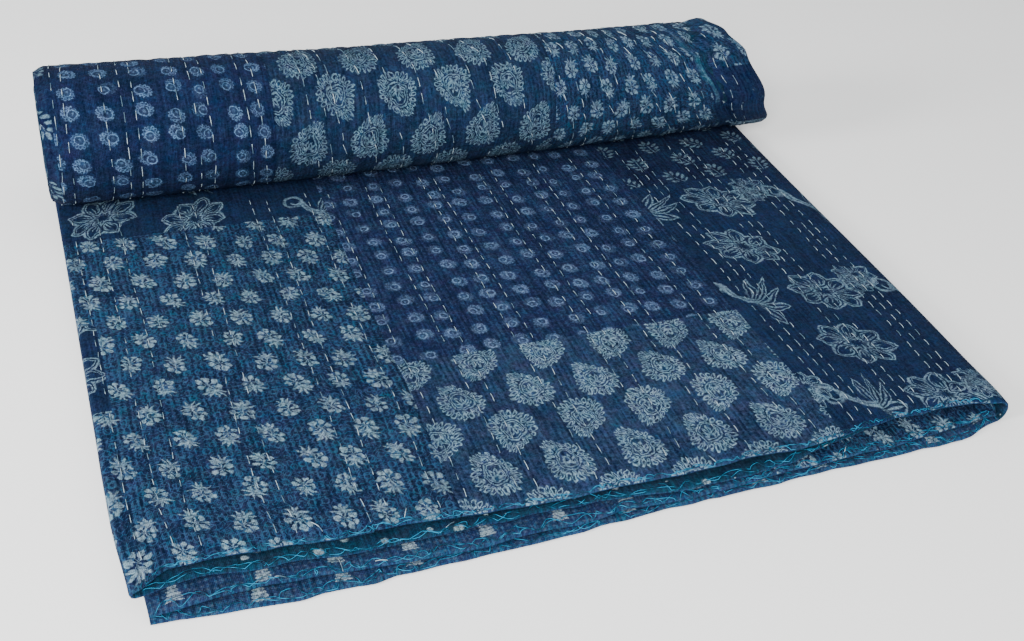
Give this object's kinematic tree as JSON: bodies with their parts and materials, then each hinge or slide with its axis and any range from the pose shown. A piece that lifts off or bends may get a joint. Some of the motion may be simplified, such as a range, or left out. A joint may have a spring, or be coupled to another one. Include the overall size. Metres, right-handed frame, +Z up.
{
  "type": "kantha quilt",
  "caption": "Indigo patchwork kantha quilt, folded lengthwise into a strip and rolled up from its far end, lying flat at the front.",
  "frame": {"origin": "on the surface it lies on, under the middle of its box", "axes": "+X across the folded strip to the double fold, +Y from the front hems towards the roll, +Z up"},
  "size_m": [0.7246, 0.5754, 0.1342],
  "materials": {
    "indigo_cotton": "block-printed indigo cotton, matt, quilted with rows of running stitch"
  },
  "bodies": {
    "root": {"quilt": "indigo_cotton"}
  },
  "joints": []
}
